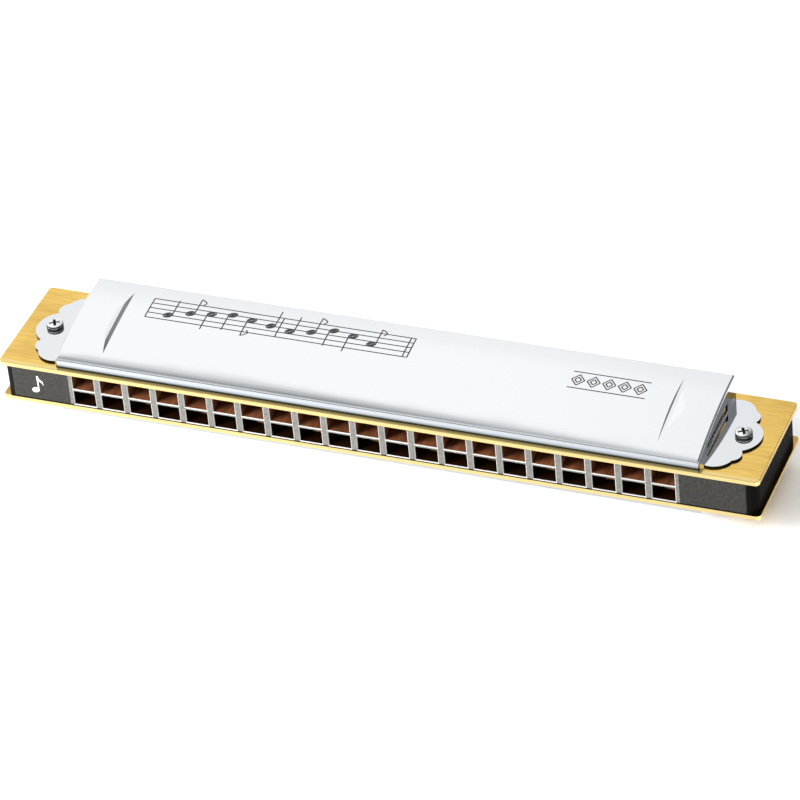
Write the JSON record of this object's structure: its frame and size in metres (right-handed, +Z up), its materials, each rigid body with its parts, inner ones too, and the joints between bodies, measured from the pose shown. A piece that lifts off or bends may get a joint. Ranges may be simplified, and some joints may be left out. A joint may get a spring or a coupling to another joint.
{
  "type": "tremolo harmonica",
  "caption": "Long tremolo harmonica with two rows of mouth holes, brass reed plates, a dark wooden comb and satin chrome covers with scalloped ears.",
  "frame": {"origin": "under the middle of the instrument as it is held to play, at the lowest line of the lower cover", "axes": "+X along the instrument towards the high notes, -Y towards the player's mouth, +Z up through the upper cover"},
  "size_m": [0.17, 0.028, 0.0214],
  "materials": {
    "cover_chrome": "satin chrome plate",
    "plate_brass": "satin rolled brass",
    "reed_bronze": "filed phosphor bronze",
    "rivet_brass": "pressed brass",
    "comb_wood": "dark lacquer",
    "screw_chrome": "nickel plate",
    "nail_steel": "plated steel"
  },
  "bodies": {
    "harmonica": {"comb": "comb_wood", "reed_plate_upper": "plate_brass", "reed_plate_lower": "plate_brass", "reed_pads_upper": "reed_bronze", "reed_pads_lower": "reed_bronze", "rivets_upper": "rivet_brass", "rivets_lower": "rivet_brass", "plate_nails_upper": "nail_steel", "plate_nails_lower": "nail_steel", "cover_upper": "cover_chrome", "cover_lower": "cover_chrome", "cover_screws_upper": "screw_chrome", "cover_screws_lower": "screw_chrome"},
    "reed_upper_01": {"reed_upper_01": "reed_bronze"},
    "reed_upper_02": {"reed_upper_02": "reed_bronze"},
    "reed_upper_03": {"reed_upper_03": "reed_bronze"},
    "reed_upper_04": {"reed_upper_04": "reed_bronze"},
    "reed_upper_05": {"reed_upper_05": "reed_bronze"},
    "reed_upper_06": {"reed_upper_06": "reed_bronze"},
    "reed_upper_07": {"reed_upper_07": "reed_bronze"},
    "reed_upper_08": {"reed_upper_08": "reed_bronze"},
    "reed_upper_09": {"reed_upper_09": "reed_bronze"},
    "reed_upper_10": {"reed_upper_10": "reed_bronze"},
    "reed_upper_11": {"reed_upper_11": "reed_bronze"},
    "reed_upper_12": {"reed_upper_12": "reed_bronze"},
    "reed_upper_13": {"reed_upper_13": "reed_bronze"},
    "reed_upper_14": {"reed_upper_14": "reed_bronze"},
    "reed_upper_15": {"reed_upper_15": "reed_bronze"},
    "reed_upper_16": {"reed_upper_16": "reed_bronze"},
    "reed_upper_17": {"reed_upper_17": "reed_bronze"},
    "reed_upper_18": {"reed_upper_18": "reed_bronze"},
    "reed_upper_19": {"reed_upper_19": "reed_bronze"},
    "reed_upper_20": {"reed_upper_20": "reed_bronze"},
    "reed_upper_21": {"reed_upper_21": "reed_bronze"},
    "reed_lower_01": {"reed_lower_01": "reed_bronze"},
    "reed_lower_02": {"reed_lower_02": "reed_bronze"},
    "reed_lower_03": {"reed_lower_03": "reed_bronze"},
    "reed_lower_04": {"reed_lower_04": "reed_bronze"},
    "reed_lower_05": {"reed_lower_05": "reed_bronze"},
    "reed_lower_06": {"reed_lower_06": "reed_bronze"},
    "reed_lower_07": {"reed_lower_07": "reed_bronze"},
    "reed_lower_08": {"reed_lower_08": "reed_bronze"},
    "reed_lower_09": {"reed_lower_09": "reed_bronze"},
    "reed_lower_10": {"reed_lower_10": "reed_bronze"},
    "reed_lower_11": {"reed_lower_11": "reed_bronze"},
    "reed_lower_12": {"reed_lower_12": "reed_bronze"},
    "reed_lower_13": {"reed_lower_13": "reed_bronze"},
    "reed_lower_14": {"reed_lower_14": "reed_bronze"},
    "reed_lower_15": {"reed_lower_15": "reed_bronze"},
    "reed_lower_16": {"reed_lower_16": "reed_bronze"},
    "reed_lower_17": {"reed_lower_17": "reed_bronze"},
    "reed_lower_18": {"reed_lower_18": "reed_bronze"},
    "reed_lower_19": {"reed_lower_19": "reed_bronze"},
    "reed_lower_20": {"reed_lower_20": "reed_bronze"},
    "reed_lower_21": {"reed_lower_21": "reed_bronze"}
  },
  "joints": [
    {"name": "reed_upper_01_bend", "type": "hinge", "parent": "harmonica", "child": "reed_upper_01", "pos_m": [-0.0656, 0.0075, 0.01465], "axis": [1, 0, 0], "range_deg": [-2.8, 2.8], "stiffness_Nm_per_rad": 0.000644},
    {"name": "reed_upper_02_bend", "type": "hinge", "parent": "harmonica", "child": "reed_upper_02", "pos_m": [-0.0591, -0.0095, 0.01565], "axis": [1, 0, 0], "range_deg": [-2.8, 2.8], "stiffness_Nm_per_rad": 0.000605},
    {"name": "reed_upper_03_bend", "type": "hinge", "parent": "harmonica", "child": "reed_upper_03", "pos_m": [-0.0526, 0.0068, 0.01465], "axis": [1, 0, 0], "range_deg": [-2.8, 2.8], "stiffness_Nm_per_rad": 0.000567},
    {"name": "reed_upper_04_bend", "type": "hinge", "parent": "harmonica", "child": "reed_upper_04", "pos_m": [-0.0461, -0.0095, 0.01565], "axis": [1, 0, 0], "range_deg": [-2.8, 2.8], "stiffness_Nm_per_rad": 0.000531},
    {"name": "reed_upper_05_bend", "type": "hinge", "parent": "harmonica", "child": "reed_upper_05", "pos_m": [-0.0396, 0.0061, 0.01465], "axis": [1, 0, 0], "range_deg": [-2.8, 2.8], "stiffness_Nm_per_rad": 0.000497},
    {"name": "reed_upper_06_bend", "type": "hinge", "parent": "harmonica", "child": "reed_upper_06", "pos_m": [-0.0331, -0.0095, 0.01565], "axis": [1, 0, 0], "range_deg": [-2.8, 2.8], "stiffness_Nm_per_rad": 0.000464},
    {"name": "reed_upper_07_bend", "type": "hinge", "parent": "harmonica", "child": "reed_upper_07", "pos_m": [-0.0266, 0.0054, 0.01465], "axis": [1, 0, 0], "range_deg": [-2.8, 2.8], "stiffness_Nm_per_rad": 0.000432},
    {"name": "reed_upper_08_bend", "type": "hinge", "parent": "harmonica", "child": "reed_upper_08", "pos_m": [-0.0201, -0.0095, 0.01565], "axis": [1, 0, 0], "range_deg": [-2.8, 2.8], "stiffness_Nm_per_rad": 0.000402},
    {"name": "reed_upper_09_bend", "type": "hinge", "parent": "harmonica", "child": "reed_upper_09", "pos_m": [-0.0136, 0.0047, 0.01465], "axis": [1, 0, 0], "range_deg": [-2.8, 2.8], "stiffness_Nm_per_rad": 0.000373},
    {"name": "reed_upper_10_bend", "type": "hinge", "parent": "harmonica", "child": "reed_upper_10", "pos_m": [-0.0071, -0.0095, 0.01565], "axis": [1, 0, 0], "range_deg": [-2.8, 2.8], "stiffness_Nm_per_rad": 0.000346},
    {"name": "reed_upper_11_bend", "type": "hinge", "parent": "harmonica", "child": "reed_upper_11", "pos_m": [-0.0006, 0.004, 0.01465], "axis": [1, 0, 0], "range_deg": [-2.8, 2.8], "stiffness_Nm_per_rad": 0.00032},
    {"name": "reed_upper_12_bend", "type": "hinge", "parent": "harmonica", "child": "reed_upper_12", "pos_m": [0.0059, -0.0095, 0.01565], "axis": [1, 0, 0], "range_deg": [-2.8, 2.8], "stiffness_Nm_per_rad": 0.000296},
    {"name": "reed_upper_13_bend", "type": "hinge", "parent": "harmonica", "child": "reed_upper_13", "pos_m": [0.0124, 0.0033, 0.01465], "axis": [1, 0, 0], "range_deg": [-2.8, 2.8], "stiffness_Nm_per_rad": 0.000273},
    {"name": "reed_upper_14_bend", "type": "hinge", "parent": "harmonica", "child": "reed_upper_14", "pos_m": [0.0189, -0.0095, 0.01565], "axis": [1, 0, 0], "range_deg": [-2.8, 2.8], "stiffness_Nm_per_rad": 0.000251},
    {"name": "reed_upper_15_bend", "type": "hinge", "parent": "harmonica", "child": "reed_upper_15", "pos_m": [0.0254, 0.0026, 0.01465], "axis": [1, 0, 0], "range_deg": [-2.8, 2.8], "stiffness_Nm_per_rad": 0.00023},
    {"name": "reed_upper_16_bend", "type": "hinge", "parent": "harmonica", "child": "reed_upper_16", "pos_m": [0.0319, -0.0095, 0.01565], "axis": [1, 0, 0], "range_deg": [-2.8, 2.8], "stiffness_Nm_per_rad": 0.00021},
    {"name": "reed_upper_17_bend", "type": "hinge", "parent": "harmonica", "child": "reed_upper_17", "pos_m": [0.0384, 0.0019, 0.01465], "axis": [1, 0, 0], "range_deg": [-2.8, 2.8], "stiffness_Nm_per_rad": 0.000192},
    {"name": "reed_upper_18_bend", "type": "hinge", "parent": "harmonica", "child": "reed_upper_18", "pos_m": [0.0449, -0.0095, 0.01565], "axis": [1, 0, 0], "range_deg": [-2.8, 2.8], "stiffness_Nm_per_rad": 0.000174},
    {"name": "reed_upper_19_bend", "type": "hinge", "parent": "harmonica", "child": "reed_upper_19", "pos_m": [0.0514, 0.0012, 0.01465], "axis": [1, 0, 0], "range_deg": [-2.8, 2.8], "stiffness_Nm_per_rad": 0.000158},
    {"name": "reed_upper_20_bend", "type": "hinge", "parent": "harmonica", "child": "reed_upper_20", "pos_m": [0.0579, -0.0095, 0.01565], "axis": [1, 0, 0], "range_deg": [-2.8, 2.8], "stiffness_Nm_per_rad": 0.000143},
    {"name": "reed_upper_21_bend", "type": "hinge", "parent": "harmonica", "child": "reed_upper_21", "pos_m": [0.0644, 0.0005, 0.01465], "axis": [1, 0, 0], "range_deg": [-2.8, 2.8], "stiffness_Nm_per_rad": 0.000129},
    {"name": "reed_lower_01_bend", "type": "hinge", "parent": "harmonica", "child": "reed_lower_01", "pos_m": [-0.0656, 0.0075, 0.00675], "axis": [1, 0, 0], "range_deg": [-2.8, 2.8], "stiffness_Nm_per_rad": 0.000644},
    {"name": "reed_lower_02_bend", "type": "hinge", "parent": "harmonica", "child": "reed_lower_02", "pos_m": [-0.0591, -0.0095, 0.00575], "axis": [1, 0, 0], "range_deg": [-2.8, 2.8], "stiffness_Nm_per_rad": 0.000605},
    {"name": "reed_lower_03_bend", "type": "hinge", "parent": "harmonica", "child": "reed_lower_03", "pos_m": [-0.0526, 0.0068, 0.00675], "axis": [1, 0, 0], "range_deg": [-2.8, 2.8], "stiffness_Nm_per_rad": 0.000567},
    {"name": "reed_lower_04_bend", "type": "hinge", "parent": "harmonica", "child": "reed_lower_04", "pos_m": [-0.0461, -0.0095, 0.00575], "axis": [1, 0, 0], "range_deg": [-2.8, 2.8], "stiffness_Nm_per_rad": 0.000531},
    {"name": "reed_lower_05_bend", "type": "hinge", "parent": "harmonica", "child": "reed_lower_05", "pos_m": [-0.0396, 0.0061, 0.00675], "axis": [1, 0, 0], "range_deg": [-2.8, 2.8], "stiffness_Nm_per_rad": 0.000497},
    {"name": "reed_lower_06_bend", "type": "hinge", "parent": "harmonica", "child": "reed_lower_06", "pos_m": [-0.0331, -0.0095, 0.00575], "axis": [1, 0, 0], "range_deg": [-2.8, 2.8], "stiffness_Nm_per_rad": 0.000464},
    {"name": "reed_lower_07_bend", "type": "hinge", "parent": "harmonica", "child": "reed_lower_07", "pos_m": [-0.0266, 0.0054, 0.00675], "axis": [1, 0, 0], "range_deg": [-2.8, 2.8], "stiffness_Nm_per_rad": 0.000432},
    {"name": "reed_lower_08_bend", "type": "hinge", "parent": "harmonica", "child": "reed_lower_08", "pos_m": [-0.0201, -0.0095, 0.00575], "axis": [1, 0, 0], "range_deg": [-2.8, 2.8], "stiffness_Nm_per_rad": 0.000402},
    {"name": "reed_lower_09_bend", "type": "hinge", "parent": "harmonica", "child": "reed_lower_09", "pos_m": [-0.0136, 0.0047, 0.00675], "axis": [1, 0, 0], "range_deg": [-2.8, 2.8], "stiffness_Nm_per_rad": 0.000373},
    {"name": "reed_lower_10_bend", "type": "hinge", "parent": "harmonica", "child": "reed_lower_10", "pos_m": [-0.0071, -0.0095, 0.00575], "axis": [1, 0, 0], "range_deg": [-2.8, 2.8], "stiffness_Nm_per_rad": 0.000346},
    {"name": "reed_lower_11_bend", "type": "hinge", "parent": "harmonica", "child": "reed_lower_11", "pos_m": [-0.0006, 0.004, 0.00675], "axis": [1, 0, 0], "range_deg": [-2.8, 2.8], "stiffness_Nm_per_rad": 0.00032},
    {"name": "reed_lower_12_bend", "type": "hinge", "parent": "harmonica", "child": "reed_lower_12", "pos_m": [0.0059, -0.0095, 0.00575], "axis": [1, 0, 0], "range_deg": [-2.8, 2.8], "stiffness_Nm_per_rad": 0.000296},
    {"name": "reed_lower_13_bend", "type": "hinge", "parent": "harmonica", "child": "reed_lower_13", "pos_m": [0.0124, 0.0033, 0.00675], "axis": [1, 0, 0], "range_deg": [-2.8, 2.8], "stiffness_Nm_per_rad": 0.000273},
    {"name": "reed_lower_14_bend", "type": "hinge", "parent": "harmonica", "child": "reed_lower_14", "pos_m": [0.0189, -0.0095, 0.00575], "axis": [1, 0, 0], "range_deg": [-2.8, 2.8], "stiffness_Nm_per_rad": 0.000251},
    {"name": "reed_lower_15_bend", "type": "hinge", "parent": "harmonica", "child": "reed_lower_15", "pos_m": [0.0254, 0.0026, 0.00675], "axis": [1, 0, 0], "range_deg": [-2.8, 2.8], "stiffness_Nm_per_rad": 0.00023},
    {"name": "reed_lower_16_bend", "type": "hinge", "parent": "harmonica", "child": "reed_lower_16", "pos_m": [0.0319, -0.0095, 0.00575], "axis": [1, 0, 0], "range_deg": [-2.8, 2.8], "stiffness_Nm_per_rad": 0.00021},
    {"name": "reed_lower_17_bend", "type": "hinge", "parent": "harmonica", "child": "reed_lower_17", "pos_m": [0.0384, 0.0019, 0.00675], "axis": [1, 0, 0], "range_deg": [-2.8, 2.8], "stiffness_Nm_per_rad": 0.000192},
    {"name": "reed_lower_18_bend", "type": "hinge", "parent": "harmonica", "child": "reed_lower_18", "pos_m": [0.0449, -0.0095, 0.00575], "axis": [1, 0, 0], "range_deg": [-2.8, 2.8], "stiffness_Nm_per_rad": 0.000174},
    {"name": "reed_lower_19_bend", "type": "hinge", "parent": "harmonica", "child": "reed_lower_19", "pos_m": [0.0514, 0.0012, 0.00675], "axis": [1, 0, 0], "range_deg": [-2.8, 2.8], "stiffness_Nm_per_rad": 0.000158},
    {"name": "reed_lower_20_bend", "type": "hinge", "parent": "harmonica", "child": "reed_lower_20", "pos_m": [0.0579, -0.0095, 0.00575], "axis": [1, 0, 0], "range_deg": [-2.8, 2.8], "stiffness_Nm_per_rad": 0.000143},
    {"name": "reed_lower_21_bend", "type": "hinge", "parent": "harmonica", "child": "reed_lower_21", "pos_m": [0.0644, 0.0005, 0.00675], "axis": [1, 0, 0], "range_deg": [-2.8, 2.8], "stiffness_Nm_per_rad": 0.000129}
  ]
}
